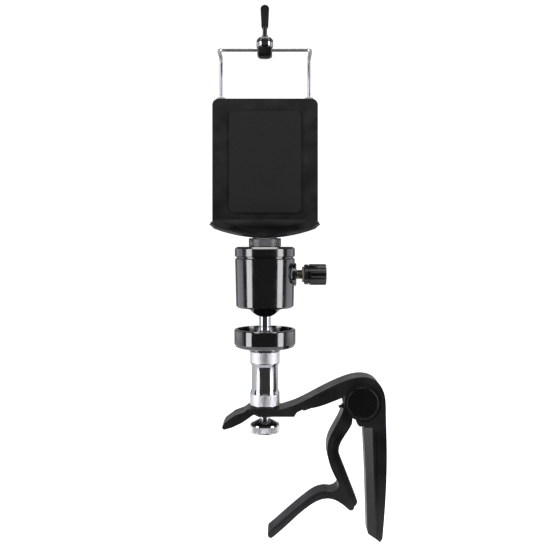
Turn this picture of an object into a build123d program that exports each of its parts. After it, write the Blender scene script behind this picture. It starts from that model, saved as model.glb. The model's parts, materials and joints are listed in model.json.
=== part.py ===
from build123d import *
import math
import os

os.makedirs("parts", exist_ok=True)

# All sizes are in millimetres.
# X runs towards the rear handle, Y towards the back of the phone clip and Z up.
# The origin is on the mast axis, at the gripping face of the arm's pad.

# Fits
RUN_GAP = 0.06        # radial, a shaft turning in its hole
SLIDE_GAP = 0.08      # radial, a part sliding in its guide
FACE_GAP = 0.3        # between faces that move past each other
POCKET_GAP = 0.15     # radial, the ears in their pockets
SEAT_GAP = 0.02       # between parts that rest on each other

# Clamp arm and jaw
ARM_W = 13.0
JAW_W = 10.5
PAD_T = 1.2
BEVEL_X = 49.4
SEAT_Z = 3.6
SCREW_HOLE_GAP = 0.3  # radial, the thumb screw in the arm
PIVOT_X = 44.8
PIVOT_Z = 6.5
HUB_R = 8.0
HUB_W = 8.0
EAR_R = 8.4
EAR_T = 1.9
CAP_R = 7.15
CAP_T = 0.8
PIN_R = 2.5
COIL_R = 4.2
COIL_WIRE = 1.5
COIL_TURNS = 2
COIL_STEP_GAP = 0.15  # between one turn and the next
LEG_ANGLE = 197.0     # degrees from +X, where the moving spring leg leaves the hub
LEG_REACH = 11.0      # from the pivot to the tip of the moving spring leg
JAW_CLOSE = 26.0      # degrees the jaw turns from open to closed
JAW_OPEN = 3.5        # degrees the jaw turns further open

# Screw that holds the mast to the arm
BOLT_R = 3.1
HEAD_R = 6.9
HEAD_Z = -8.35
HEAD_T = 4.05
THUMB_WASHER_T = 0.5
NECK_CUT_R = 2.3

# Mast
WASHER_T = 0.6
ADAPTER_R = 6.92
WAIST_R = 6.14
COLLAR_LOW_Z = 10.1   # top of the adapter's lower collar
COLLAR_HIGH_Z = 23.9  # foot of its upper collar
WAIST_BLEND = 1.9     # height of the slope from the lower collar to the waist
BOLT_BORE_Z = 18.5    # end of the thumb screw's bore
STUD_Z = 21.0         # foot of the hidden stud
STUD_R = 3.1
DISC_R = 14.26
DISC_BASE_R = 7.84
DISC_Z = 29.8
DISC_TOP_Z = 39.7
DISC_FLOOR_Z = 36.2
DISC_JOINT_Z = 33.6   # where the stud ends and the ball's tail begins
PLATFORM_PAD_T = 0.8
DISC_WALL = 1.55
STEM_R = 2.72
BALL_R = 8.6
BALL_Z = 53.7

# Ball housing
HOUSING_R = 14.05
HOUSING_FOOT_R = 13.4
HOUSING_Z = 49.7
HOUSING_TOP_Z = 77.9
CAVITY_R = 9.6
RING_T = 0.75
CUP_R = 9.5
KNOB_Z = 65.0
KNOB_X = 18.2
KNOB_END_X = 28.5
KNOB_R = 4.9
BOSS_R = 5.4
BOSS_X = 14.6
LOCK_R = 2.28
CAP_SPLIT_Z = 72.7

# Stud above the housing
COLLAR_R = 7.6
COLLAR_H = 4.1
UPPER_RING_R = 5.7
UPPER_RING_H = 2.4

# Phone clip
BASE_Z = 81.98
LEDGE_Z = 89.9
BASE_TOP_Z = 90.4
BASE_HALF = 25.4
BASE_FRONT_Y = -7.0
SPINE_Y = 5.2
SPINE_BACK_Y = 12.6
COVER_T = 1.4
SPINE_HALF = 25.0
SPINE_TOP_Z = 148.0
LEG_X = 21.0
WIRE_R = 0.85
BAR_Z = 167.9
BAR_Y = -7.0
LEG_Y = 8.0
LEG_END_Z = 125.0
SPRING_BORE_R = 2.6
SPRING_BORE_Z = 96.0
SPRING_WIRE_R = 0.3
SPRING_TURNS = 8
BUSH_WALL = 0.73
BASE_SCREW_X = 14.0
BASE_SCREW_Y = 8.9
BASE_SCREW_R = 1.1
BASE_SCREW_HEAD_Z = 86.0
COVER_SCREW_R = 0.9
COVER_SCREW_X = 16.9
TOP_WALL = 3.0
STOP_H = 2.5
SCREW_Y = -2.6
BLOCK_HALF = 3.4
BLOCK_Z = 164.1
BLOCK_TOP_Z = 170.1
RING_H = 2.3
DOME_TOP_Z = 174.7
NECK_R = 1.05
ROD_R = 1.45
ROD_TIP_R = 0.8
FOOT_Z = 165.2
ROD_Z = 166.2
PADDLE_Z = 178.5
PADDLE_TOP_Z = 189.9
PADDLE_W = 4.0
PADDLE_T = 1.6


def turned(points):
    """Solid of revolution about Z from (radius, height) points."""
    return revolve(Plane.XZ * make_face(Polyline(*points, close=True)), Axis.Z)


def rod(radius, low, high):
    """Upright cylinder on the Z axis."""
    return Pos(0, 0, low) * Cylinder(radius, high - low, align=(Align.CENTER, Align.CENTER, Align.MIN))


def block(x0, x1, y0, y1, z0, z1):
    """Box between two corners."""
    size = Box(x1 - x0, y1 - y0, z1 - z0)
    return Pos((x0 + x1) / 2, (y0 + y1) / 2, (z0 + z1) / 2) * size


def plate(face, width):
    """Outline drawn as (X, Z), given width centred on Y = 0."""
    return extrude(Plane.XZ * face, amount=width / 2, both=True)


def pivot_disc(radius, y0, y1):
    """Disc on the jaw's pivot axis between two Y values."""
    disc = Rot(90, 0, 0) * Cylinder(radius, abs(y1 - y0))
    return Pos(PIVOT_X, (y0 + y1) / 2, PIVOT_Z) * disc


def pivot_point(radius, degrees):
    """(X, Z) of a point about the pivot."""
    turn = math.radians(degrees)
    return (PIVOT_X + radius * math.cos(turn), PIVOT_Z + radius * math.sin(turn))


def pivot_sector(radius, start, end, width):
    """Wedge about the pivot, from start to end degrees."""
    middle = (start + end) / 2
    points = [(PIVOT_X, PIVOT_Z)]
    for degrees in (start, middle, end):
        points.append(pivot_point(radius, degrees))
    return plate(make_face(Polyline(*points, close=True)), width)


def arm_outline():
    """Side view of the arm and rear handle."""
    top = Spline(
        (14, 5.6), (25.3, 11.3), (36, 16.3), (44.4, 18.3), (50.6, 16.8),
        (54.4, 11.8), (55.5, 2.5), (55.9, -14), (55.8, -26.2), (55.0, -42.2), (53.9, -55.6),
    )
    tail = Polyline((53.9, -55.6), (52.75, -57.4), (50.85, -55.8), (47.6, -54.35), (47.2, -52.8))
    inner = Spline((47.2, -52.8), (47.0, -43.8), (46.7, -32.6), (46.3, -21.4), (45.7, -10.2), (45.3, -4.2))
    hub_start = pivot_point(HUB_R, 248)
    hub_end = pivot_point(HUB_R, 158)
    lug = Polyline((45.3, -4.2), (43.4, -4.4), (42.3, -3.2), hub_start)
    hub = ThreePointArc(hub_start, pivot_point(HUB_R, 203), hub_end)
    under = Spline(hub_end, (32.5, 7.6), (27.6, 5.7), (21.1, 4.0))
    nose = Polyline(
        (21.1, 4.0), (18.0, 2.9), (17.2, 3.3), (14.8, 2.15), (14.2, PAD_T), (-3.6, PAD_T), (-5.4, 0.9),
        (-7.7, -0.8), (-10.55, -2.7), (-15, -4.8), (-18.7, -5.85), (-19.7, -4.8), (-18.45, -2.7),
        (-14, 0.6), (-9.6, 2.2), (-7.8, SEAT_Z), (7.8, SEAT_Z), (14, 5.6),
    )
    return make_face(top + tail + inner + lug + hub + under + nose)


def clamp_arm():
    """Cast arm and handle with a pocket on each face for the jaw's ears."""
    arm = plate(arm_outline(), ARM_W)
    long_edges = arm.edges().filter_by(Axis.Y).filter_by(lambda e: e.center().X < -12)
    arm = fillet(long_edges, 0.5)
    for side in (-1, 1):
        arm -= handle_bevel(side)
    arm -= rod(BOLT_R + SCREW_HOLE_GAP, -3, 8)
    for side in (-1, 1):
        arm -= pivot_disc(EAR_R + POCKET_GAP, side * HUB_W / 2, side * (ARM_W / 2 + 1))
    relief = pivot_sector(16, 158.5, 238, ARM_W + 2) & pivot_disc(HUB_R + 1.6, -ARM_W, ARM_W)
    arm -= relief - pivot_disc(HUB_R, -ARM_W, ARM_W)
    arm -= pivot_disc(COIL_R + COIL_WIRE / 2 + 0.6, -2.5, 2.5)
    leg_slot = pivot_sector(16, LEG_ANGLE - JAW_CLOSE - 11, LEG_ANGLE + JAW_OPEN + 11, 2 * COIL_WIRE)
    arm -= leg_slot & pivot_disc(LEG_REACH + 0.6, -COIL_WIRE - 0.5, COIL_WIRE + 0.5)
    arm -= pivot_disc(PIN_R + SEAT_GAP, -ARM_W, ARM_W)
    return arm - handle_grooves()


def handle_bevel(side):
    """Wedge cut that slants one face of the handle towards its inner edge."""
    edge = side * (ARM_W / 2 + 0.1)
    wedge = make_face(Polyline((43, edge), (BEVEL_X, edge), (43, side * 1.9), close=True))
    lean = Vector(1.6, 0, -50)
    return Pos(0, 0, -4.8) * extrude(wedge, amount=60, dir=lean.normalized())


def handle_grooves():
    """Shallow line along each face of the handle, behind the bevel."""
    line = make_face(Polyline((50.6, -7), (51.3, -7), (52.2, -53), (51.5, -53), close=True))
    cut = extrude(Plane.XZ * line, amount=1.0)
    front = Pos(0, -ARM_W / 2 + 0.4, 0) * cut
    return front + Pos(0, ARM_W / 2 + 0.6, 0) * cut


def arm_pad():
    """Rubber pad under the arm, with a hole for the thumb screw."""
    outline = Polyline((-2.9, 0), (13.6, 0), (14.1, PAD_T - SEAT_GAP), (-3.5, PAD_T - SEAT_GAP), close=True)
    pad = plate(make_face(outline), ARM_W - 1.0)
    return pad - rod(BOLT_R + 0.6, -1, 3)


def jaw_outline():
    """Side view of the lever, trigger and curved cradle."""
    top_front = pivot_point(EAR_R + 0.6, 196)
    front = Spline(top_front, (33.2, -3.3), (29.7, -9.9), (28.7, -13.9), (29.3, -20.2), (33.2, -29.5))
    inside = Spline((33.2, -29.5), (33.8, -32.4), (31.8, -34.2), (28.8, -34.3))
    step = pad_under(-SEAT_GAP * 1.5)
    top = Line((28.8, -34.3), step[0]) + Spline(*step)
    lip = Polyline(
        step[-1], (2.3, -52.45), (1.6, -53), (1.3, -54.2), (1.6, -55.3), (2.5, -55.9), (3.3, -55.7),
    )
    under = Spline((3.3, -55.7), (10.4, -49.6), (20.6, -40.9), (24.4, -38.7), (28.8, -37.7))
    heel = Spline((28.8, -37.7), (32, -38.3), (35.3, -40.1), (38.4, -42.7))
    heel_end = ThreePointArc((38.4, -42.7), (40.1, -43.1), (41.1, -41.8))
    catch = Polyline((41.1, -41.8), (41.3, -41.1), (42.0, -40.7), (42.6, -39.1))
    back = Polyline((42.6, -39.1), (34.6, -18.6))
    elbow = Spline((34.6, -18.6), (34.0, -15.2), (35.7, -10.5), (40.1, -3.3))
    shoulder = pivot_point(EAR_R - 0.6, 236)
    close = Polyline((40.1, -3.3), shoulder, pivot_point(EAR_R - 0.6, 200), top_front)
    return make_face(front + inside + top + lip + under + heel + heel_end + catch + back + elbow + close)


def jaw_lever():
    """Lever with two pivot ears, hollowed along its trigger side."""
    lever = plate(jaw_outline(), JAW_W)
    lever -= pivot_disc(HUB_R + FACE_GAP, -JAW_W, JAW_W)
    ear_in = HUB_W / 2 + 0.2
    for side in (-1, 1):
        lever += pivot_disc(EAR_R, side * ear_in, side * (ear_in + EAR_T))
    for side in (-1, 1):
        web = pivot_sector(13, 200, 234, JAW_W) & pivot_disc(EAR_R + 0.6, side * ear_in, side * JAW_W / 2)
        lever += web
    lever -= pivot_disc(PIN_R + RUN_GAP, -ARM_W, ARM_W)
    lever -= spring_leg(COIL_WIRE / 2 + 0.25)
    for shift in (1.3, 2.6):
        lever -= trigger_line(shift)
    return lever


def trigger_line(shift):
    """Shallow line on both faces that follows the lever's trigger edge."""
    edge = [(36.9, -8.6), (35.2, -11.6), (34.3, -15.2), (34.9, -18.6), (42.0, -37.2)]
    near = [(x - shift, z) for x, z in edge]
    far = [(x - 0.55, z) for x, z in reversed(near)]
    cut = extrude(Plane.XZ * make_face(Polyline(*near, *far, close=True)), amount=1.0)
    return Pos(0, -JAW_W / 2 + 0.35, 0) * cut + Pos(0, JAW_W / 2 + 0.65, 0) * cut


def pad_under(drop):
    """Points of the curve under the cradle's pad, shifted in Z."""
    points = [(28.7, -35.3), (24.6, -36.1), (19.7, -39.2), (10.7, -46.6), (3.0, -53.1)]
    return [(x, z + drop) for x, z in points]


def cradle_pad():
    """Curved rubber strip on the cradle."""
    under = pad_under(0)
    top = Spline((2.4, -52.35), (10, -45.75), (19.0, -38.3), (24.1, -35.1), (28.65, -34.32))
    ends = Line((28.65, -34.32), under[0]) + Line(under[-1], (2.4, -52.35))
    return plate(make_face(top + Spline(*under) + ends), JAW_W - 0.4)


def spring_leg(radius):
    """Straight leg that runs out of the hub through the lever."""
    reach = pivot_point(LEG_REACH, LEG_ANGLE)
    start = pivot_point(COIL_R, LEG_ANGLE)
    path = Line((start[0], 0, start[1]), (reach[0], 0, reach[1]))
    return sweep(Plane(origin=path @ 0, z_dir=path % 0) * Circle(radius), path=path)


def torsion_spring():
    """Coil round the pivot pin with one leg in the arm and one in the lever."""
    pitch = COIL_WIRE + COIL_STEP_GAP
    height = pitch * COIL_TURNS
    helix = Helix(pitch=pitch, height=height, radius=COIL_R)
    section = Plane(origin=helix @ 0, z_dir=helix % 0) * Circle(COIL_WIRE / 2)
    coil = sweep(section, path=helix, is_frenet=True)
    coil = Pos(PIVOT_X, height / 2, PIVOT_Z) * Rot(90, 0, 0) * coil
    return coil + spring_leg(COIL_WIRE / 2)


def pivot_pin():
    """Steel pin through hub and ears."""
    half = ear_outside() + FACE_GAP + CAP_T - 0.15
    return chamfer(pivot_disc(PIN_R, -half, half).edges().filter_by(GeomType.CIRCLE), 0.2)


def ear_outside():
    """Y of the ears' outer faces."""
    return HUB_W / 2 + 0.2 + EAR_T


def pivot_cap(side):
    """Domed cap pressed on one end of the pin."""
    inner = ear_outside() + FACE_GAP
    cap = pivot_disc(CAP_R, side * inner, side * (inner + CAP_T))
    rim = cap.edges().filter_by(GeomType.CIRCLE).sort_by(Axis.Y)
    cap = fillet(rim[-1] if side > 0 else rim[0], 0.35)
    hole_end = inner + CAP_T - 0.12
    return cap - pivot_disc(PIN_R + SEAT_GAP / 2, side * (inner - 1), side * hole_end)


def thumb_screw():
    """Turned head and cone, with the threaded shank that pulls the adapter down."""
    head_top = HEAD_Z + HEAD_T
    screw = turned([
        (0, HEAD_Z + 0.5), (5.2, HEAD_Z + 0.5), (5.6, HEAD_Z), (6.4, HEAD_Z), (HEAD_R, HEAD_Z + 0.6),
        (HEAD_R, head_top - 0.5), (6.6, head_top), (NECK_CUT_R + 0.1, -2.1), (NECK_CUT_R, -1.2),
        (3.5, -1.0), (3.5, -THUMB_WASHER_T - SEAT_GAP), (BOLT_R, -THUMB_WASHER_T - SEAT_GAP),
        (BOLT_R, 13.6), (BOLT_R - 0.7, 14.3), (0, 14.3),
    ])
    return screw


def thumb_washer():
    """Thin washer between the screw's shoulder and the pad."""
    return rod(4.6, -THUMB_WASHER_T, -SEAT_GAP) - rod(BOLT_R + RUN_GAP, -4, 4)


def seat_washer():
    """Plastic washer under the adapter."""
    return rod(ADAPTER_R - 0.32, SEAT_Z + SEAT_GAP, SEAT_Z + WASHER_T) - rod(BOLT_R + SCREW_HOLE_GAP, 0, 9)


def adapter():
    """Spigot with a waist between two collars, threaded at both ends."""
    low = SEAT_Z + WASHER_T + SEAT_GAP
    top = DISC_Z - SEAT_GAP
    edge = 0.4
    body = turned([
        (0, low), (ADAPTER_R - edge, low), (ADAPTER_R, low + edge), (ADAPTER_R, COLLAR_LOW_Z),
        (WAIST_R, COLLAR_LOW_Z + WAIST_BLEND), (WAIST_R, COLLAR_HIGH_Z - 1.3), (ADAPTER_R, COLLAR_HIGH_Z),
        (ADAPTER_R, top - edge), (ADAPTER_R - edge, top), (0, top),
    ])
    body -= rod(BOLT_R + RUN_GAP, low - 1, BOLT_BORE_Z)
    return body - rod(STUD_R + SEAT_GAP, STUD_Z - 0.5, top + 1)


def platform_stud():
    """Hidden stud between the adapter and the platform."""
    return rod(STUD_R, STUD_Z, DISC_JOINT_Z - 0.2)


def platform_disc():
    """Cup-shaped platform with a stepped base."""
    disc = turned([
        (0, DISC_Z), (DISC_BASE_R - 0.3, DISC_Z), (DISC_BASE_R, DISC_Z + 0.3), (DISC_BASE_R, 31.1),
        (12.2, 31.1), (13.6, 31.7), (DISC_R, 33.1), (DISC_R, DISC_TOP_Z - 0.4), (DISC_R - 0.4, DISC_TOP_Z),
        (DISC_R - DISC_WALL, DISC_TOP_Z), (DISC_R - DISC_WALL - 0.3, DISC_FLOOR_Z), (0, DISC_FLOOR_Z),
    ])
    return disc - rod(STUD_R + SEAT_GAP, DISC_Z - 1, DISC_FLOOR_Z + 1)


def platform_pad():
    """Ring of foam rubber on the floor of the platform."""
    low = DISC_FLOOR_Z + SEAT_GAP
    return rod(DISC_R - DISC_WALL - 0.5, low, DISC_FLOOR_Z + PLATFORM_PAD_T) - rod(4.3, 36, 38)


def ball_stem():
    """Ball with its stem, flared foot and threaded tail."""
    neck_z = BALL_Z - math.sqrt(BALL_R ** 2 - STEM_R ** 2)
    stem = turned([
        (0, DISC_JOINT_Z + 0.2), (STUD_R, DISC_JOINT_Z + 0.2), (STUD_R, DISC_FLOOR_Z + SEAT_GAP),
        (3.9, DISC_FLOOR_Z + SEAT_GAP), (3.9, 38.2), (3.2, 39.3),
        (STEM_R, 40.6), (STEM_R, neck_z + 1), (0, neck_z + 1),
    ])
    return stem + Pos(0, 0, BALL_Z) * Sphere(BALL_R)


def ball_point(radius, degrees):
    """(radius, Z) of a point about the ball's centre, at an angle from straight up."""
    turn = math.radians(degrees)
    return (radius * math.sin(turn), BALL_Z + radius * math.cos(turn))


def shell(inner, outer, low_angle, high_angle):
    """Band of a hollow sphere about the ball, between two angles from straight up."""
    middle = (low_angle + high_angle) / 2
    outside = ThreePointArc(*[ball_point(outer, turn) for turn in (low_angle, middle, high_angle)])
    inside = ThreePointArc(*[ball_point(inner, turn) for turn in (high_angle, middle, low_angle)])
    low = Line(outside @ 1, inside @ 0)
    high = Line(inside @ 1, outside @ 0)
    return revolve(Plane.XZ * make_face(outside + low + inside + high), Axis.Z)


def friction_ring():
    """Nylon band that rides on the ball."""
    return shell(BALL_R + RUN_GAP, BALL_R + RUN_GAP + RING_T, 62, 84)


def ball_cup():
    """Pressure cup with a groove for the lock screw's point."""
    low = BALL_Z + CAVITY_R - 1.0
    cup = rod(CUP_R, low, low + 6.6) + rod(4.2, BALL_Z + 7.4, low + 1)
    cup -= Pos(0, 0, BALL_Z) * Sphere(BALL_R + RUN_GAP)
    mouth = CUP_R + 1
    floor = CUP_R - 1.6
    groove = turned([
        (mouth, KNOB_Z - 3.2), (mouth, KNOB_Z + 3.2), (floor, KNOB_Z + 0.8), (floor, KNOB_Z - 0.8),
    ])
    return cup - groove


def ball_housing():
    """Cylinder that holds the ball, with a boss for the lock screw."""
    top = CAP_SPLIT_Z - SEAT_GAP
    body = turned([
        (0, HOUSING_Z), (HOUSING_FOOT_R - 0.8, HOUSING_Z), (HOUSING_FOOT_R, HOUSING_Z + 0.8),
        (HOUSING_R - 0.1, top - 0.5), (HOUSING_R - 0.5, top), (0, top),
    ])
    boss = Pos(0, 0, KNOB_Z) * Rot(0, 90, 0) * rod(BOSS_R, CAVITY_R + 0.9, BOSS_X)
    body += chamfer(boss.edges().filter_by(GeomType.CIRCLE).sort_by(Axis.X)[-1], 0.4)
    body -= Pos(0, 0, BALL_Z) * Sphere(BALL_R + RUN_GAP)
    seat_z = BALL_Z - 2.6
    cavity = Pos(0, 0, BALL_Z) * Sphere(CAVITY_R) & rod(20, seat_z, BALL_Z)
    body -= cavity
    body -= rod(CAVITY_R, BALL_Z, top + 1)
    body -= Pos(0, 0, KNOB_Z) * Rot(0, 90, 0) * rod(LOCK_R + RUN_GAP, 5, 20)
    return body


def housing_cap():
    """Lid above the groove, with a spigot that fits the housing bore."""
    cap = turned([
        (0, CAP_SPLIT_Z + 0.55), (HOUSING_R - 0.5, CAP_SPLIT_Z + 0.55), (HOUSING_R, CAP_SPLIT_Z + 0.9),
        (HOUSING_R, HOUSING_TOP_Z - 0.9), (HOUSING_R - 0.9, HOUSING_TOP_Z), (0, HOUSING_TOP_Z),
    ])
    cap += rod(HOUSING_R - 0.9, CAP_SPLIT_Z, CAP_SPLIT_Z + 0.6)
    cap += rod(CAVITY_R - SEAT_GAP, CAP_SPLIT_Z - 1.4, CAP_SPLIT_Z + 0.1)
    return cap - rod(STUD_R + SEAT_GAP, 60, HOUSING_TOP_Z + 1)


def wave_spring():
    """Flat spring ring between cup and cap."""
    low = BALL_Z + CAVITY_R - 1.0 + 6.6
    return rod(8.6, low + SEAT_GAP, CAP_SPLIT_Z - 1.4 - SEAT_GAP) - rod(6.4, low - 1, CAP_SPLIT_Z)


def side_turned(points):
    """Solid of revolution about the lock knob's axis, from (radius, X) points."""
    return Pos(0, 0, KNOB_Z) * Rot(0, 90, 0) * turned(points)


def lock_screw():
    """Screw with a conical point that bears in the cup's groove."""
    tip = CUP_R - 1.2
    return side_turned([
        (0, tip), (0.5, tip), (LOCK_R - 0.2, tip + 1.4), (LOCK_R, tip + 2.0), (LOCK_R, KNOB_END_X - 2.4),
        (0, KNOB_END_X - 2.4),
    ])


def knob_washer():
    """Washer that rides between the knob and the boss."""
    washer = side_turned([(LOCK_R, KNOB_X - 0.9), (3.6, KNOB_X - 0.9), (3.6, KNOB_X), (LOCK_R, KNOB_X)])
    return washer - Pos(0, 0, KNOB_Z) * Rot(0, 90, 0) * rod(LOCK_R + RUN_GAP, 5, 30)


def lock_knob():
    """Lobed knob with a collar next to the shaft."""
    knob = side_turned([
        (0, KNOB_X + SEAT_GAP), (4.4, KNOB_X + SEAT_GAP), (KNOB_R - 0.2, KNOB_X + 0.3),
        (KNOB_R - 0.2, KNOB_X + 1.9), (KNOB_R - 0.6, KNOB_X + 2.0), (KNOB_R - 0.6, KNOB_X + 2.3),
        (KNOB_R, KNOB_X + 2.4), (KNOB_R, KNOB_END_X - 0.4), (KNOB_R - 0.4, KNOB_END_X),
        (3.4, KNOB_END_X), (3.1, KNOB_END_X - 1.0), (0, KNOB_END_X - 1.0),
    ])
    lobes = 6
    for index in range(lobes):
        turn = 360 / lobes * (index + 0.5)
        flute = Rot(0, 90, 0) * Cylinder(2.0, KNOB_END_X - KNOB_X - 2.0)
        spoke = Pos((KNOB_X + 2.5 + KNOB_END_X) / 2 + 0.9, 0, KNOB_R + 1.2)
        knob -= Pos(0, 0, KNOB_Z) * Rot(turn, 0, 0) * spoke * flute
    return knob - Pos(0, 0, KNOB_Z) * Rot(0, 90, 0) * rod(LOCK_R + SEAT_GAP, 5, KNOB_END_X - 2.3)


def coupling_stud():
    """Double ended stud with a knurled collar and a plain ring above it."""
    low = HOUSING_TOP_Z + SEAT_GAP
    collar_top = low + COLLAR_H - 0.06
    ring_top = collar_top + UPPER_RING_H
    return turned([
        (0, 72.2), (STUD_R - 0.5, 72.2), (STUD_R, 72.8), (STUD_R, low), (COLLAR_R - 0.3, low),
        (COLLAR_R, low + 0.3), (COLLAR_R, collar_top - 0.3), (COLLAR_R - 0.3, collar_top),
        (UPPER_RING_R, collar_top),
        (UPPER_RING_R, ring_top - 0.2), (UPPER_RING_R - 0.2, ring_top), (STUD_R, ring_top), (STUD_R, 87.2),
        (STUD_R - 0.4, 87.7), (0, 87.7),
    ])


def base_outline():
    """Front view of the crescent-shaped lower jaw."""
    bottom = ThreePointArc((-23.2, 86.2), (0, BASE_Z), (23.2, 86.2))
    right = Polyline((23.2, 86.2), (BASE_HALF, 88.2), (24.6, 89.5), (21.9, BASE_TOP_Z))
    top = Line((21.9, BASE_TOP_Z), (-21.9, BASE_TOP_Z))
    left = Polyline((-21.9, BASE_TOP_Z), (-24.6, 89.5), (-BASE_HALF, 88.2), (-23.2, 86.2))
    return make_face(bottom + right + top + left)


def holder_base():
    """Lower jaw of the phone clip, with a ledge and a foot for the spine."""
    solid = extrude(Plane.XZ * base_outline(), amount=SPINE_BACK_Y - BASE_FRONT_Y)
    solid = Pos(0, SPINE_BACK_Y, 0) * solid
    front = solid.edges().group_by(Axis.Y)[0].filter_by(lambda e: e.center().Z < LEDGE_Z - 1)
    solid = chamfer(front, 1.1)
    solid -= block(-30, 30, -4.8, 20, LEDGE_Z - 1.0, 95)
    solid -= rod(UPPER_RING_R + 0.05, 80, BASE_Z + UPPER_RING_H + 0.12)
    solid -= rod(4.2, 80, 88.0)
    for x in (-BASE_SCREW_X, BASE_SCREW_X):
        solid -= Pos(x, BASE_SCREW_Y, 0) * rod(BASE_SCREW_R + 0.15, 80, 95)
        solid -= Pos(x, BASE_SCREW_Y, 0) * rod(2.3, 80, BASE_SCREW_HEAD_Z)
        dimple = Pos(x, BASE_FRONT_Y, 86.6) * Rot(90, 0, 0) * (Cylinder(0.75, 0.5) - Cylinder(0.4, 0.6))
        solid -= dimple
    return solid


def thread_insert():
    """Brass insert that takes the stud's upper thread."""
    low = BASE_Z + UPPER_RING_H + 0.14
    return rod(4.2 - SEAT_GAP / 2, low, 87.95) - rod(STUD_R + SEAT_GAP, 80, 95)


def lower_jaw_pad():
    """Soft strip that the phone stands on."""
    return block(-20.5, 20.5, -4.7, SPINE_Y - 0.1, LEDGE_Z - 1.0 + SEAT_GAP, LEDGE_Z)


def spine():
    """Back of the clip with two deep guide bores for the wire legs."""
    low = LEDGE_Z - 1.0 + SEAT_GAP
    body = block(-SPINE_HALF, SPINE_HALF, SPINE_Y, SPINE_BACK_Y - COVER_T, low, SPINE_TOP_Z)
    body = fillet(body.edges().filter_by(Axis.Y).group_by(Axis.Z)[-1], 3.0)
    body -= block(-15.5, 15.5, SPINE_Y + 1.6, SPINE_BACK_Y, low + 9.0, SPINE_TOP_Z - 4)
    for side in (-1, 1):
        bore = rod(SPRING_BORE_R, SPRING_BORE_Z, SPINE_TOP_Z - TOP_WALL)
        bush_hole = rod(WIRE_R + BUSH_WALL + SEAT_GAP, 100, SPINE_TOP_Z + 1)
        body -= Pos(side * LEG_X, LEG_Y, 0) * (bore + bush_hole)
        body -= Pos(side * BASE_SCREW_X, BASE_SCREW_Y, 0) * rod(BASE_SCREW_R + 0.05, 80, low + 6.0)
    for x, z in cover_places():
        body -= Pos(x, 0, z) * Rot(-90, 0, 0) * rod(COVER_SCREW_R + 0.05, SPINE_Y + 2.0, 15)
    return body


def cover_places():
    """(X, Z) of the four screws in the back cover."""
    return [(x, z) for x in (-COVER_SCREW_X, COVER_SCREW_X) for z in (96.5, SPINE_TOP_Z - 4.5)]


def spine_cover():
    """Flat cover over the spine's back."""
    low = LEDGE_Z - 1.0 + SEAT_GAP
    inner = SPINE_BACK_Y - COVER_T + SEAT_GAP
    cover = block(-SPINE_HALF, SPINE_HALF, inner, SPINE_BACK_Y, low, SPINE_TOP_Z - 0.2)
    cover = fillet(cover.edges().filter_by(Axis.Y).group_by(Axis.Z)[-1], 3.0)
    for x, z in cover_places():
        cover -= Pos(x, 0, z) * Rot(-90, 0, 0) * rod(COVER_SCREW_R + 0.2, 10, 15)
    return cover


def cover_screws():
    """Four small screws that hold the back cover."""
    screws = []
    for x, z in cover_places():
        screw = Rot(-90, 0, 0) * rod(COVER_SCREW_R, SPINE_Y + 2.3, SPINE_BACK_Y + 0.1)
        head = Rot(-90, 0, 0) * rod(1.9, SPINE_BACK_Y + SEAT_GAP, SPINE_BACK_Y + 1.0)
        slot = block(-1.4, 1.4, SPINE_BACK_Y + 0.6, SPINE_BACK_Y + 2, -0.25, 0.25)
        screws.append(Pos(x, 0, z) * (screw + head - slot))
    return Compound(children=screws)


def base_screws():
    """Two screws from below that hold the spine on the lower jaw."""
    screws = []
    low = BASE_SCREW_HEAD_Z - 1.4
    for x in (-BASE_SCREW_X, BASE_SCREW_X):
        head = rod(2.1, low, BASE_SCREW_HEAD_Z - SEAT_GAP) - block(-1.6, 1.6, -0.3, 0.3, low - 0.6, low + 0.6)
        screws.append(Pos(x, BASE_SCREW_Y, 0) * (head + rod(BASE_SCREW_R, low + 0.9, 93.8)))
    return Compound(children=screws)


def spine_pad():
    """Thin rubber sheet where the phone's back rests."""
    pad = block(-17, 17, SPINE_Y - 0.7, SPINE_Y - SEAT_GAP, 94, SPINE_TOP_Z - 6)
    return fillet(pad.edges().filter_by(Axis.Y), 2.5)


def leg_bushes():
    """Two flanged bushes that guide the wire legs."""
    bushes = []
    for side in (-1, 1):
        bush = rod(WIRE_R + BUSH_WALL, SPINE_TOP_Z - TOP_WALL + 0.1, SPINE_TOP_Z + 0.2)
        bush += rod(2.1, SPINE_TOP_Z + SEAT_GAP, SPINE_TOP_Z + 0.8)
        bush -= rod(WIRE_R + SLIDE_GAP, 100, 160)
        bushes.append(Pos(side * LEG_X, LEG_Y, 0) * bush)
    return Compound(children=bushes)


def wire_frame():
    """Bent wire: crossbar in front, corners over the phone, legs down the back."""
    path = FilletPolyline(
        (-LEG_X, LEG_Y, LEG_END_Z), (-LEG_X, LEG_Y, BAR_Z), (-LEG_X, BAR_Y, BAR_Z),
        (LEG_X, BAR_Y, BAR_Z), (LEG_X, LEG_Y, BAR_Z), (LEG_X, LEG_Y, LEG_END_Z), radius=2.6,
    )
    section = Plane(origin=path @ 0, z_dir=path % 0) * Circle(WIRE_R)
    return sweep(section, path=path)


def leg_stops():
    """Sleeves pressed on the ends of the wire legs."""
    stops = []
    for side in (-1, 1):
        stop = rod(SPRING_BORE_R - 0.1, LEG_END_Z - 0.6, LEG_END_Z + STOP_H)
        stop -= rod(WIRE_R + SEAT_GAP / 2, LEG_END_Z - SEAT_GAP, LEG_END_Z + 9)
        stops.append(Pos(side * LEG_X, LEG_Y, 0) * stop)
    return Compound(children=stops)


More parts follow.
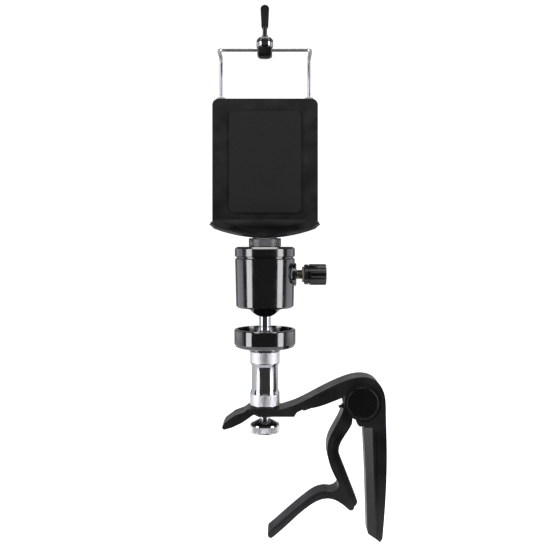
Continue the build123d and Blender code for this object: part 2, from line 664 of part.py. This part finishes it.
def leg_spring(side):
    """Compression spring between a leg stop and the spine's top wall."""
    low = LEG_END_Z + STOP_H + 0.35
    high = SPINE_TOP_Z - TOP_WALL - 0.35
    coil_radius = SPRING_BORE_R - 2 * SPRING_WIRE_R
    helix = Helix(pitch=(high - low) / SPRING_TURNS, height=high - low, radius=coil_radius)
    section = Plane(origin=helix @ 0, z_dir=helix % 0) * Circle(SPRING_WIRE_R)
    coil = sweep(section, path=helix, is_frenet=True)
    return Pos(side * LEG_X, LEG_Y, low) * coil


def clamp_block():
    """Black block on the crossbar with a lip that hooks over the phone's face."""
    body = block(-BLOCK_HALF, BLOCK_HALF, BAR_Y - 2.2, 1.6, BAR_Z - 1.5, BLOCK_TOP_Z - 1.3)
    body += block(-BLOCK_HALF, BLOCK_HALF, BAR_Y - 2.2, BAR_Y + 1.7, BLOCK_Z, BAR_Z)
    body = fillet(body.edges().filter_by(Axis.Z).group_by(Axis.Y)[0], 0.8)
    lip_edges = body.edges().filter_by(Axis.Y).group_by(Axis.Z)[0]
    body = fillet(lip_edges, 1.8)
    body += Pos(0, SCREW_Y, 0) * rod(3.3, BAR_Z, BLOCK_TOP_Z - SEAT_GAP)
    body -= Pos(0, BAR_Y, BAR_Z) * Rot(0, 90, 0) * Cylinder(WIRE_R + SEAT_GAP, 20)
    return body - Pos(0, SCREW_Y, 0) * rod(ROD_R + RUN_GAP, 160, 180)


def chrome_ring():
    """Polished ring under the dome."""
    ring = turned([
        (0, BLOCK_TOP_Z), (3.6, BLOCK_TOP_Z), (3.9, BLOCK_TOP_Z + 0.3), (3.9, BLOCK_TOP_Z + RING_H - 0.3),
        (3.6, BLOCK_TOP_Z + RING_H - SEAT_GAP), (0, BLOCK_TOP_Z + RING_H - SEAT_GAP),
    ])
    return Pos(0, SCREW_Y, 0) * (ring - rod(ROD_R + RUN_GAP, 160, 180))


def dome_nut():
    """Black domed nut."""
    low = BLOCK_TOP_Z + RING_H
    dome = turned([
        (0, low), (3.7, low), (3.9, low + 0.4), (3.8, low + 1.1), (3.0, DOME_TOP_Z - 0.3), (2.4, DOME_TOP_Z),
        (0, DOME_TOP_Z),
    ])
    return Pos(0, SCREW_Y, 0) * (dome - rod(ROD_R + RUN_GAP, 160, 180))


def hold_down_screw():
    """Threaded rod with a thin neck and a flat paddle on top."""
    screw = turned([
        (0, ROD_Z), (ROD_TIP_R, ROD_Z), (ROD_TIP_R, ROD_Z + 0.7), (ROD_R, ROD_Z + 0.8),
        (ROD_R, DOME_TOP_Z + 0.8),
        (NECK_R, DOME_TOP_Z + 1.2), (NECK_R, PADDLE_Z + 1), (0, PADDLE_Z + 1),
    ])
    half = PADDLE_W / 2
    shoulder = PADDLE_TOP_Z - half
    face = make_face(
        Polyline((half, shoulder), (half - 0.4, PADDLE_Z + 1.2), (NECK_R, PADDLE_Z), (-NECK_R, PADDLE_Z))
        + Polyline((-NECK_R, PADDLE_Z), (-half + 0.4, PADDLE_Z + 1.2), (-half, shoulder))
        + ThreePointArc((-half, shoulder), (0, PADDLE_TOP_Z), (half, shoulder))
    )
    paddle = plate(face, PADDLE_T)
    rim = paddle.edges().group_by(Axis.Y)
    paddle = chamfer(rim[0] + rim[-1], 0.3)
    return Pos(0, SCREW_Y, 0) * (screw + paddle)


def hold_down_foot():
    """Rubber foot that presses on the top of the phone."""
    foot = rod(2.4, FOOT_Z, ROD_Z - SEAT_GAP) + rod(1.6, ROD_Z - 0.5, ROD_Z + 0.15)
    return Pos(0, SCREW_Y, 0) * (foot - rod(ROD_TIP_R + RUN_GAP, ROD_Z - SEAT_GAP, 170))


NODES = {
    "clamp_arm": clamp_arm,
    "arm_pad": arm_pad,
    "pivot_pin": pivot_pin,
    "pivot_cap_front": lambda: pivot_cap(-1),
    "pivot_cap_back": lambda: pivot_cap(1),
    "torsion_spring": torsion_spring,
    "jaw_lever": jaw_lever,
    "cradle_pad": cradle_pad,
    "thumb_washer": thumb_washer,
    "thumb_screw": thumb_screw,
    "seat_washer": seat_washer,
    "adapter": adapter,
    "platform_stud": platform_stud,
    "platform_disc": platform_disc,
    "platform_pad": platform_pad,
    "ball_stem": ball_stem,
    "friction_ring": friction_ring,
    "ball_cup": ball_cup,
    "ball_housing": ball_housing,
    "housing_cap": housing_cap,
    "wave_spring": wave_spring,
    "lock_screw": lock_screw,
    "knob_washer": knob_washer,
    "lock_knob": lock_knob,
    "coupling_stud": coupling_stud,
    "thread_insert": thread_insert,
    "holder_base": holder_base,
    "lower_jaw_pad": lower_jaw_pad,
    "spine": spine,
    "spine_cover": spine_cover,
    "spine_pad": spine_pad,
    "cover_screws": cover_screws,
    "base_screws": base_screws,
    "leg_bushes": leg_bushes,
    "wire_frame": wire_frame,
    "leg_stops": leg_stops,
    "leg_spring_left": lambda: leg_spring(-1),
    "leg_spring_right": lambda: leg_spring(1),
    "clamp_block": clamp_block,
    "chrome_ring": chrome_ring,
    "dome_nut": dome_nut,
    "hold_down_screw": hold_down_screw,
    "hold_down_foot": hold_down_foot,
}

for name, make in NODES.items():
    export_step(make(), f"parts/{name}.step")
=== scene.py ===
"""Looks, turned details, light and camera for the guitar headstock clamp phone holder.

Turned pieces and the torsion spring are worked out in millimetres. Other places and sizes are in metres.
"""
import json
import math

import bpy
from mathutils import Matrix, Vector


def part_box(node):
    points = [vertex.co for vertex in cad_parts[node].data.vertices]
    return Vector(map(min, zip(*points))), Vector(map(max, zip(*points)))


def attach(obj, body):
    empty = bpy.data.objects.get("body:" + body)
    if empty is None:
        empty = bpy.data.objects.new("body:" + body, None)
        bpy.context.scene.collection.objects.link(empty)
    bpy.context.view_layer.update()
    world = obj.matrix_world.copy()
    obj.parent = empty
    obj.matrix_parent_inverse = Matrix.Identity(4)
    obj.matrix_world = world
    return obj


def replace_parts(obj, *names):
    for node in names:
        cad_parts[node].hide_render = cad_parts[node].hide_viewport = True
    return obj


MM = 0.001
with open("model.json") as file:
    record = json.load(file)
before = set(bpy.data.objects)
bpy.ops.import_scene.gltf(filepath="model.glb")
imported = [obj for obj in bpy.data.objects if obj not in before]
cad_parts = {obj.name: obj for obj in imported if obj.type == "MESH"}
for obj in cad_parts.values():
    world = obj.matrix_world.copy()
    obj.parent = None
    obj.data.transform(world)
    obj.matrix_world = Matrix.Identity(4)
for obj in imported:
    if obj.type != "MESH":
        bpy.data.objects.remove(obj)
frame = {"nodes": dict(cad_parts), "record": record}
scene = bpy.context.scene
nodes = frame["nodes"]


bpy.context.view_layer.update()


# Materials ---------------------------------------------------------------

GRAIN_DETAIL = 3.0
GRAIN_HEIGHT = 0.0002
SMUDGE_SCALE = 130.0
SMUDGE_DETAIL = 5.0
NOISE_RANGE = (0.3, 0.7)        # the part of the noise that is stretched over the whole range
EDGE_RANGE = (0.53, 0.62)       # pointiness where wear starts, and where it is complete
ROUGHNESS_SWING = 0.05
LOWEST_ROUGHNESS = 0.02
MIX_COLOURS = (6, 7)            # sockets of Blender's Mix node when it mixes colours
MIX_RESULT = 2
MATS = {}


def noise(tree, scale, detail):
    """Noise that is fixed to the object."""
    coords = tree.nodes.new("ShaderNodeTexCoord")
    texture = tree.nodes.new("ShaderNodeTexNoise")
    texture.inputs["Scale"].default_value = scale
    texture.inputs["Detail"].default_value = detail
    tree.links.new(coords.outputs["Object"], texture.inputs["Vector"])
    return texture.outputs["Fac"]


def remap(tree, value, source, target):
    """Value carried from one (low, high) range to another, and held within it."""
    node = tree.nodes.new("ShaderNodeMapRange")
    for name, limit in zip(("From Min", "From Max", "To Min", "To Max"), (*source, *target)):
        node.inputs[name].default_value = limit
    tree.links.new(value, node.inputs["Value"])
    return node.outputs["Result"]


def worn_colour(tree, smudges, colour, wear, wear_colour):
    """Colour that turns paler along the edges, in patches."""
    edge = tree.nodes.new("ShaderNodeNewGeometry")
    scuffed = tree.nodes.new("ShaderNodeMath")
    scuffed.operation = "MULTIPLY"
    tree.links.new(remap(tree, edge.outputs["Pointiness"], EDGE_RANGE, (0.0, wear)), scuffed.inputs[0])
    tree.links.new(smudges, scuffed.inputs[1])
    mix = tree.nodes.new("ShaderNodeMix")
    mix.data_type = "RGBA"
    for socket, shade in zip(MIX_COLOURS, (colour, wear_colour)):
        mix.inputs[socket].default_value = (*shade, 1)
    tree.links.new(scuffed.outputs["Value"], mix.inputs["Factor"])
    return mix.outputs[MIX_RESULT]


def material(name, colour, roughness, grain, grain_size, mottle, metallic=0.0, ior=1.5,
             coat=0.0, coat_roughness=0.08, wear=0.0, wear_colour=None):
    """Add a surface with fine grain, uneven roughness and, where asked, pale wear on its edges."""
    mat = bpy.data.materials.new(name)
    mat.use_nodes = True
    tree = mat.node_tree
    shader = tree.nodes["Principled BSDF"]
    shader.inputs["Base Color"].default_value = (*colour, 1)
    shader.inputs["Metallic"].default_value = metallic
    shader.inputs["Roughness"].default_value = roughness
    shader.inputs["IOR"].default_value = ior
    shader.inputs["Coat Weight"].default_value = coat
    shader.inputs["Coat Roughness"].default_value = coat_roughness
    smudges = noise(tree, SMUDGE_SCALE, SMUDGE_DETAIL)
    swing = ROUGHNESS_SWING + mottle
    limits = (max(LOWEST_ROUGHNESS, roughness - swing), min(1.0, roughness + swing))
    tree.links.new(remap(tree, smudges, NOISE_RANGE, limits), shader.inputs["Roughness"])
    bump = tree.nodes.new("ShaderNodeBump")
    bump.inputs["Strength"].default_value = grain
    bump.inputs["Distance"].default_value = GRAIN_HEIGHT
    tree.links.new(noise(tree, grain_size, GRAIN_DETAIL), bump.inputs["Height"])
    tree.links.new(bump.outputs["Normal"], shader.inputs["Normal"])
    if wear:
        tree.links.new(worn_colour(tree, smudges, colour, wear, wear_colour), shader.inputs["Base Color"])
    MATS[name] = mat


material("powder_black", (0.006, 0.006, 0.0065), roughness=0.34, coat=0.15,
         grain=0.08, grain_size=1600, mottle=0.04, wear=0.35, wear_colour=(0.06, 0.06, 0.06))
material("gloss_black", (0.004, 0.004, 0.0048), roughness=0.1, coat=0.2, coat_roughness=0.04, ior=2.2,
         grain=0.03, grain_size=2500, mottle=0.02)
material("cap_black", (0.004, 0.004, 0.0045), roughness=0.25, coat=0.2,
         grain=0.04, grain_size=2200, mottle=0.03)
material("chrome", (0.52, 0.53, 0.55), metallic=1.0, roughness=0.09,
         grain=0.03, grain_size=1200, mottle=0.03)
material("rough_chrome", (0.56, 0.57, 0.59), metallic=1.0, roughness=0.16,
         grain=0.06, grain_size=1500, mottle=0.05)
material("knurl_silver", (0.86, 0.86, 0.87), metallic=1.0, roughness=0.38,
         grain=0.06, grain_size=1500, mottle=0.05)
material("wire_silver", (0.6, 0.61, 0.63), metallic=1.0, roughness=0.22,
         grain=0.03, grain_size=1200, mottle=0.04)
material("grey_steel", (0.33, 0.33, 0.34), metallic=1.0, roughness=0.34,
         grain=0.2, grain_size=1500, mottle=0.08)
material("brass", (0.36, 0.33, 0.2), metallic=1.0, roughness=0.3,
         grain=0.12, grain_size=1500, mottle=0.06)
material("rubber", (0.01, 0.01, 0.01), roughness=0.7,
         grain=0.12, grain_size=1800, mottle=0.05)
material("matt_plastic", (0.009, 0.009, 0.0095), roughness=0.42,
         grain=0.08, grain_size=1400, mottle=0.05, wear=0.25, wear_colour=(0.08, 0.08, 0.08))
material("shiny_plastic", (0.005, 0.005, 0.0055), roughness=0.2, coat=0.3,
         grain=0.03, grain_size=900, mottle=0.04, wear=0.4, wear_colour=(0.2, 0.2, 0.2))
material("satin_rubber", (0.008, 0.008, 0.009), roughness=0.38,
         grain=0.1, grain_size=1800, mottle=0.04)
material("nylon", (0.7, 0.69, 0.64), roughness=0.5,
         grain=0.1, grain_size=900, mottle=0.03)

SLOT_MATS = {
    "black_metal": "powder_black",
    "black_anodised": "gloss_black",
    "chrome": "chrome",
    "steel": "grey_steel",
    "black_plastic": "matt_plastic",
    "gloss_plastic": "shiny_plastic",
    "rubber": "rubber",
    "brass": "brass",
    "nylon": "nylon",
}
OTHER_LOOKS = {
    "pivot_cap_front": "cap_black",
    "pivot_cap_back": "cap_black",
    "cradle_pad": "satin_rubber",
    "hold_down_screw": "shiny_plastic",
    "clamp_block": "shiny_plastic",
    "wire_frame": "wire_silver",
}


def smooth(mesh, degrees=32):
    """Smooth shading with creases above an angle."""
    mesh.polygons.foreach_set("use_smooth", [True] * len(mesh.polygons))
    mesh.set_sharp_from_angle(angle=math.radians(degrees))


def paint(obj, name):
    """Give an object one material."""
    obj.data.materials.clear()
    obj.data.materials.append(MATS[name])


for part in frame["record"]["subparts"]:
    name = part["node"]
    paint(nodes[name], OTHER_LOOKS.get(name, SLOT_MATS[part["material_slot"]]))
    smooth(nodes[name].data)

STEM_TOP = 0.0458       # the ball is black above this height, and its stem is chrome
ball = nodes["ball_stem"].data
ball.materials.append(MATS["gloss_black"])
for face in ball.polygons:
    if face.center.z > STEM_TOP:
        face.material_index = 1


# Turned pieces with real knurls ------------------------------------------
# Each takes its outer radius, foot and top from its CAD node. The steps between are set here.

BOLT_R = 3.1            # the 1/4 inch threads of the adapter, thumb screw and coupling stud
BOLT_PITCH = 1.27
LOCK_PITCH = 0.8
BORE_GAP = 0.06
SKIN = 0.02             # how far turned surfaces lie inside the CAD node's
CUT_ROW = 0.11          # height of one row of faces along a knurl or thread
CUT_MARGIN = 0.5        # how far a cut may reach past its stretch of profile
SHORTEST_SPLIT = 0.5    # shorter stretches stay one row
OUTSIDE = 0.7           # knurls are cut beyond this share of the largest radius


def turned_size(node):
    """Radius, foot and top in millimetres of a node turned about the mast axis."""
    low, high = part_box(node)
    return high[0] / MM, low[2] / MM, high[2] / MM


def covers(cut, z0, z1):
    """True where a stretch of profile runs the length of a knurl or thread."""
    return min(z0, z1) < cut[0] + CUT_MARGIN and max(z0, z1) > cut[1] - CUT_MARGIN


def row_list(profile, knurls, threads, outside):
    """Radius and height of every ring of points, close together along knurls and threads."""
    rows = []
    for (r0, z0), (r1, z1) in zip(profile, profile[1:]):
        cuts = [*threads, *knurls] if min(r0, r1) > outside else threads
        length = abs(z1 - z0)
        parts = 1
        if length > SHORTEST_SPLIT and any(covers(cut, z0, z1) for cut in cuts):
            parts = max(1, int(length / CUT_ROW))
        for part in range(parts):
            share = part / parts
            rows.append((r0 + (r1 - r0) * share, z0 + (z1 - z0) * share))
    rows.append(profile[-1])
    return rows


def cut_depth(z, angle, knurls, threads):
    """How deep the knurls and threads are cut at one point."""
    total = 0.0
    for low, high, teeth, depth, slant in knurls:
        if low < z < high:
            turn = teeth * angle
            lean = slant * (z - low)
            ridge = min(abs(math.sin((turn + lean) / 2)), abs(math.sin((turn - lean) / 2)))
            total += depth * (1 - ridge)
    for low, high, pitch, depth in threads:
        if low < z < high:
            total += depth * (0.5 - 0.5 * math.cos(2 * math.pi * (z - low) / pitch - angle))
    return total


def lathe(name, body, mat, profile, steps, knurls=(), threads=(), side_z=None, knurl_mat=None):
    """Mesh turned about the mast axis or, given side_z, about the side screw's axis at that height.

    The profile is a list of (radius, height). A knurl is (low, high, teeth, depth, slant), and a
    thread is (low, high, pitch, depth). Both ends are closed.
    """
    outside = OUTSIDE * max(r for r, z in profile)
    rows = row_list(profile, knurls, threads, outside)
    verts = []
    for radius, z in rows:
        knurls_here = knurls if radius > outside else ()
        for step in range(steps):
            angle = 2 * math.pi * step / steps
            r = radius - cut_depth(z, angle, knurls_here, threads)
            across, along = r * math.cos(angle), r * math.sin(angle)
            if side_z is None:
                verts.append((across * MM, along * MM, z * MM))
            else:
                verts.append((z * MM, along * MM, (side_z - across) * MM))
    faces = []
    last = (len(rows) - 1) * steps
    for ring in range(0, last, steps):
        for step in range(steps):
            after = (step + 1) % steps
            faces.append((ring + step, ring + after, ring + steps + after, ring + steps + step))
    faces.append(tuple(reversed(range(steps))))
    faces.append(tuple(range(last, last + steps)))
    mesh = bpy.data.meshes.new(name)
    mesh.from_pydata(verts, [], faces)
    mesh.validate()
    obj = bpy.data.objects.new(name, mesh)
    scene.collection.objects.link(obj)
    smooth(mesh, degrees=38)
    paint(obj, mat)
    if knurl_mat:
        mesh.materials.append(MATS[knurl_mat])
        for face in mesh.polygons:
            reach = math.hypot(face.center.x, face.center.y) / MM
            height = face.center.z / MM
            if reach > outside and any(low < height < high for low, high, *cut in knurls):
                face.material_index = 1
    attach(obj, body)
    return obj


def turned_adapter():
    """Spigot with a knurled collar at each end, bored for the thumb screw and the platform's stud."""
    radius, foot, top = turned_size("adapter")
    bore_r = BOLT_R + BORE_GAP
    collar_r = radius - SKIN
    waist_r = 6.14
    edge = 0.38
    collar_h = 5.68
    inset = 0.2             # between a collar's edge and its knurl
    low_bore = 14.28
    high_bore = 9.2
    cut = (72, 0.11, 10.0)
    return lathe(
        "adapter_turned", "mast", "rough_chrome",
        [(bore_r, foot + low_bore), (bore_r, foot), (collar_r - 0.6, foot), (collar_r, foot + edge),
         (collar_r, foot + collar_h), (collar_r - 0.15, foot + collar_h + 0.2),
         (waist_r, foot + collar_h + 2.0), (waist_r, foot + collar_h + 2.2),
         (waist_r, top - collar_h - 1.6), (waist_r + 0.06, top - collar_h - 1.4),
         (collar_r - 0.1, top - collar_h - 0.3), (collar_r, top - collar_h),
         (collar_r, top - edge), (collar_r - 0.4, top), (bore_r, top), (bore_r, top - high_bore)],
        steps=576, knurl_mat="knurl_silver",
        knurls=[(foot + edge + inset, foot + collar_h - inset, *cut),
                (top - collar_h + inset, top - edge - inset, *cut)],
    )


def turned_thumb_screw():
    """Screw with a straight-knurled head, a cone, a neck, a shoulder and a threaded shank."""
    radius, foot, top = turned_size("thumb_screw")
    head_r = radius - SKIN
    head_h = 4.0
    neck_r = 2.3
    shoulder_r = 3.5
    shoulder_top = foot + 7.81
    shank_r = BOLT_R - SKIN
    return lathe(
        "thumb_screw_turned", "thumb", "chrome",
        [(head_r - 1.68, foot + 0.5), (head_r - 1.28, foot), (head_r - 0.48, foot + 0.05),
         (head_r, foot + 0.55), (head_r, foot + head_h - 0.55), (head_r - 0.18, foot + head_h),
         (neck_r + 0.2, foot + 6.2), (neck_r, foot + 6.45), (neck_r, foot + 7.2),
         (shoulder_r, foot + 7.35), (shoulder_r, shoulder_top), (shank_r, shoulder_top + SKIN),
         (shank_r, top - 0.7), (shank_r - 0.68, top - SKIN)],
        steps=448, knurl_mat="knurl_silver",
        knurls=[(foot + 0.75, foot + head_h - 0.75, 56, 0.28, 0.0)],
        threads=[(0.2, top - 1.0, BOLT_PITCH, 0.55)],
    )


def turned_coupling_stud():
    """Double ended stud with a knurled collar and a plain ring above it."""
    radius, foot, top = turned_size("coupling_stud")
    shank_r = BOLT_R - SKIN
    collar_r = radius - 0.05
    edge = 0.35
    collar_low = foot + 5.73
    collar_high = foot + 9.76
    ring_r = 5.7
    ring_top = collar_high + 2.34
    return lathe(
        "coupling_stud_turned", "holder", "grey_steel",
        [(2.6, foot), (shank_r, foot + 0.6), (shank_r, collar_low - 0.03), (collar_r - edge, collar_low),
         (collar_r, collar_low + edge), (collar_r, collar_high - edge),
         (collar_r - edge, collar_high - SKIN), (ring_r, collar_high), (ring_r, ring_top - 0.2),
         (ring_r - 0.2, ring_top), (shank_r, ring_top + 0.04), (shank_r, top - 0.5), (2.7, top - 0.04)],
        steps=480, knurls=[(collar_low + 0.47, collar_high - 0.46, 60, 0.28, 8.0)],
    )


def turned_lock_screw():
    """Side screw with a conical point and a threaded shaft."""
    low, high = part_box("lock_screw")
    tip, tail = low[0] / MM, high[0] / MM
    shaft_z = (low[2] + high[2]) / 2 / MM
    shaft_r = (high[2] - low[2]) / 2 / MM - SKIN
    thread_end = tip + 10.3
    return lathe(
        "lock_screw_turned", "lock", "brass",
        [(0.5, tip), (shaft_r - 0.18, tip + 1.4), (shaft_r, tip + 2.0), (shaft_r, thread_end),
         (shaft_r, tail)],
        steps=96, threads=[(tip + 2.1, thread_end - 0.1, LOCK_PITCH, 0.3)], side_z=shaft_z,
    )


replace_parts(turned_adapter(), "adapter")
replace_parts(turned_thumb_screw(), "thumb_screw")
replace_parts(turned_coupling_stud(), "coupling_stud")
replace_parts(turned_lock_screw(), "lock_screw")


# Torsion spring: the coil stays with the arm, the leg goes with the jaw ---

SPRING_WIRE_R = 0.72
COIL_R = 4.2
COIL_PITCH = 1.65
COIL_TURNS = 2
COIL_STEPS = 48         # points in one turn
LEG_ANGLE = math.radians(197)
LEG_REACHES = (COIL_R + 0.75, 7.0, 9.0, 10.9)       # distances from the pivot along the leg


def tube(name, body, points):
    """Spring wire swept along points in millimetres."""
    curve = bpy.data.curves.new(name + "_path", "CURVE")
    curve.dimensions = "3D"
    curve.bevel_depth = SPRING_WIRE_R * MM
    curve.bevel_resolution = 5
    curve.use_fill_caps = True
    line = curve.splines.new("POLY")
    line.points.add(len(points) - 1)
    for spot, (x, y, z) in zip(line.points, points):
        spot.co = (x * MM, y * MM, z * MM, 1)
    rough = bpy.data.objects.new(name + "_path", curve)
    scene.collection.objects.link(rough)
    bpy.context.view_layer.update()
    mesh = bpy.data.meshes.new_from_object(rough.evaluated_get(bpy.context.evaluated_depsgraph_get()))
    bpy.data.objects.remove(rough)
    mesh.name = name
    obj = bpy.data.objects.new(name, mesh)
    scene.collection.objects.link(obj)
    smooth(mesh, degrees=40)
    paint(obj, "grey_steel")
    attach(obj, body)
    return obj


hinge = next(joint for joint in frame["record"]["behaviour"]["joints"] if joint["name"] == "jaw_hinge")
pivot_x, pivot_z = hinge["pos_m"][0] / MM, hinge["pos_m"][2] / MM


def around_pivot(reach, angle, y):
    """Point at a distance and an angle from the jaw's pivot."""
    return (pivot_x + reach * math.cos(angle), y, pivot_z + reach * math.sin(angle))


coil_points = []
for step in range(COIL_TURNS * COIL_STEPS + 1):
    turns = step / COIL_STEPS
    coil_points.append(around_pivot(COIL_R, 2 * math.pi * turns, COIL_PITCH * (COIL_TURNS / 2 - turns)))
coil = tube("torsion_coil", "clamp", coil_points)
leg = tube("torsion_leg", "jaw", [around_pivot(reach, LEG_ANGLE, 0) for reach in LEG_REACHES])
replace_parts(coil, "torsion_spring")
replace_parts(leg, "torsion_spring")


# Stage, light and camera -------------------------------------------------

FLOOR_Z = -0.075
FLOOR_FRONT_Y = -0.1
BEND_Y = 0.9            # where the floor begins to curve up
BEND_R = 0.5
BEND_STEPS = 12
WALL_H = 2.4
SWEEP_HALF_W = 2.5
BACKDROP_GLOW = (0.9, 0.1)      # to the camera, and to everything else
WORLD_GLOW = (1.0, 0.05)
MIDDLE = (0.01, 0.0, 0.06)
CLIP = (0.0, 0.0, 0.16)
EYE = (0.0047, -0.349, 0.082)
LENS_SHIFT = -0.0672727         # of the picture's width, which keeps upright lines upright


def ray_mix(tree, glow):
    """Value that is one thing to the camera and another to everything else."""
    seen, unseen = glow
    path = tree.nodes.new("ShaderNodeLightPath")
    return remap(tree, path.outputs["Is Camera Ray"], (0.0, 1.0), (unseen, seen))


def backdrop():
    """Pale seamless sweep under and behind the object."""
    profile = [(FLOOR_FRONT_Y, 0.0), (BEND_Y, 0.0)]
    for step in range(1, BEND_STEPS + 1):
        turn = math.pi / 2 * step / BEND_STEPS
        profile.append((BEND_Y + BEND_R * math.sin(turn), BEND_R - BEND_R * math.cos(turn)))
    profile.append((BEND_Y + BEND_R, WALL_H))
    verts = [(x, y, z + FLOOR_Z) for x in (-SWEEP_HALF_W, SWEEP_HALF_W) for y, z in profile]
    count = len(profile)
    faces = [(i, i + 1, count + i + 1, count + i) for i in range(count - 1)]
    mesh = bpy.data.meshes.new("backdrop")
    mesh.from_pydata(verts, [], faces)
    smooth(mesh, degrees=60)
    sweep = bpy.data.objects.new("backdrop", mesh)
    scene.collection.objects.link(sweep)
    mat = bpy.data.materials.new("backdrop_white")
    mat.use_nodes = True
    tree = mat.node_tree
    shader = tree.nodes["Principled BSDF"]
    shader.inputs["Base Color"].default_value = (0.9, 0.9, 0.9, 1)
    shader.inputs["Roughness"].default_value = 0.9
    shader.inputs["Emission Color"].default_value = (1, 1, 1, 1)
    tree.links.new(ray_mix(tree, BACKDROP_GLOW), shader.inputs["Emission Strength"])
    mesh.materials.append(mat)


def world_light():
    """White to the camera, dim grey to everything else."""
    world = bpy.data.worlds.new("studio")
    world.use_nodes = True
    scene.world = world
    tree = world.node_tree
    sky = tree.nodes["Background"]
    sky.inputs["Color"].default_value = (1, 1, 1, 1)
    tree.links.new(ray_mix(tree, WORLD_GLOW), sky.inputs["Strength"])


def lamp(name, place, target, size, power, colour=(1, 1, 1)):
    """Rectangular softbox aimed at a point, and not seen by the camera."""
    data = bpy.data.lights.new(name, "AREA")
    data.shape = "RECTANGLE"
    data.size, data.size_y = size
    data.energy = power
    data.color = colour
    obj = bpy.data.objects.new(name, data)
    obj.location = place
    obj.rotation_euler = (Vector(target) - Vector(place)).to_track_quat("-Z", "Y").to_euler()
    obj.visible_camera = False
    scene.collection.objects.link(obj)


def camera():
    """Level camera in front of the object."""
    data = bpy.data.cameras.new("camera")
    data.sensor_width = 36.0
    data.lens = 49.0
    data.shift_y = LENS_SHIFT
    eye = bpy.data.objects.new("camera", data)
    eye.location = EYE
    eye.rotation_euler = (math.radians(90), 0, 0)
    scene.collection.objects.link(eye)
    scene.camera = eye


backdrop()
world_light()
for side in (-1, 1):
    lamp(f"key_{side + 1}", place=(side * 0.53, -0.29, 0.14), target=MIDDLE,
         size=(0.25, 0.8), power=2.5, colour=(0.97, 0.97, 1.0))
    lamp(f"wall_{side + 1}", place=(side * 0.74, 0.32, 0.1), target=MIDDLE,
         size=(0.6, 0.9), power=1.3, colour=(0.9, 0.91, 1.0))
lamp("top_softbox", place=(0.0, 0.1, 0.75), target=MIDDLE, size=(0.6, 0.35), power=2.0)
lamp("front_top", place=(0.0, -0.45, 0.62), target=CLIP, size=(0.5, 0.3), power=0.7)
camera()
scene.view_settings.view_transform = "Standard"
scene.view_settings.look = "None"
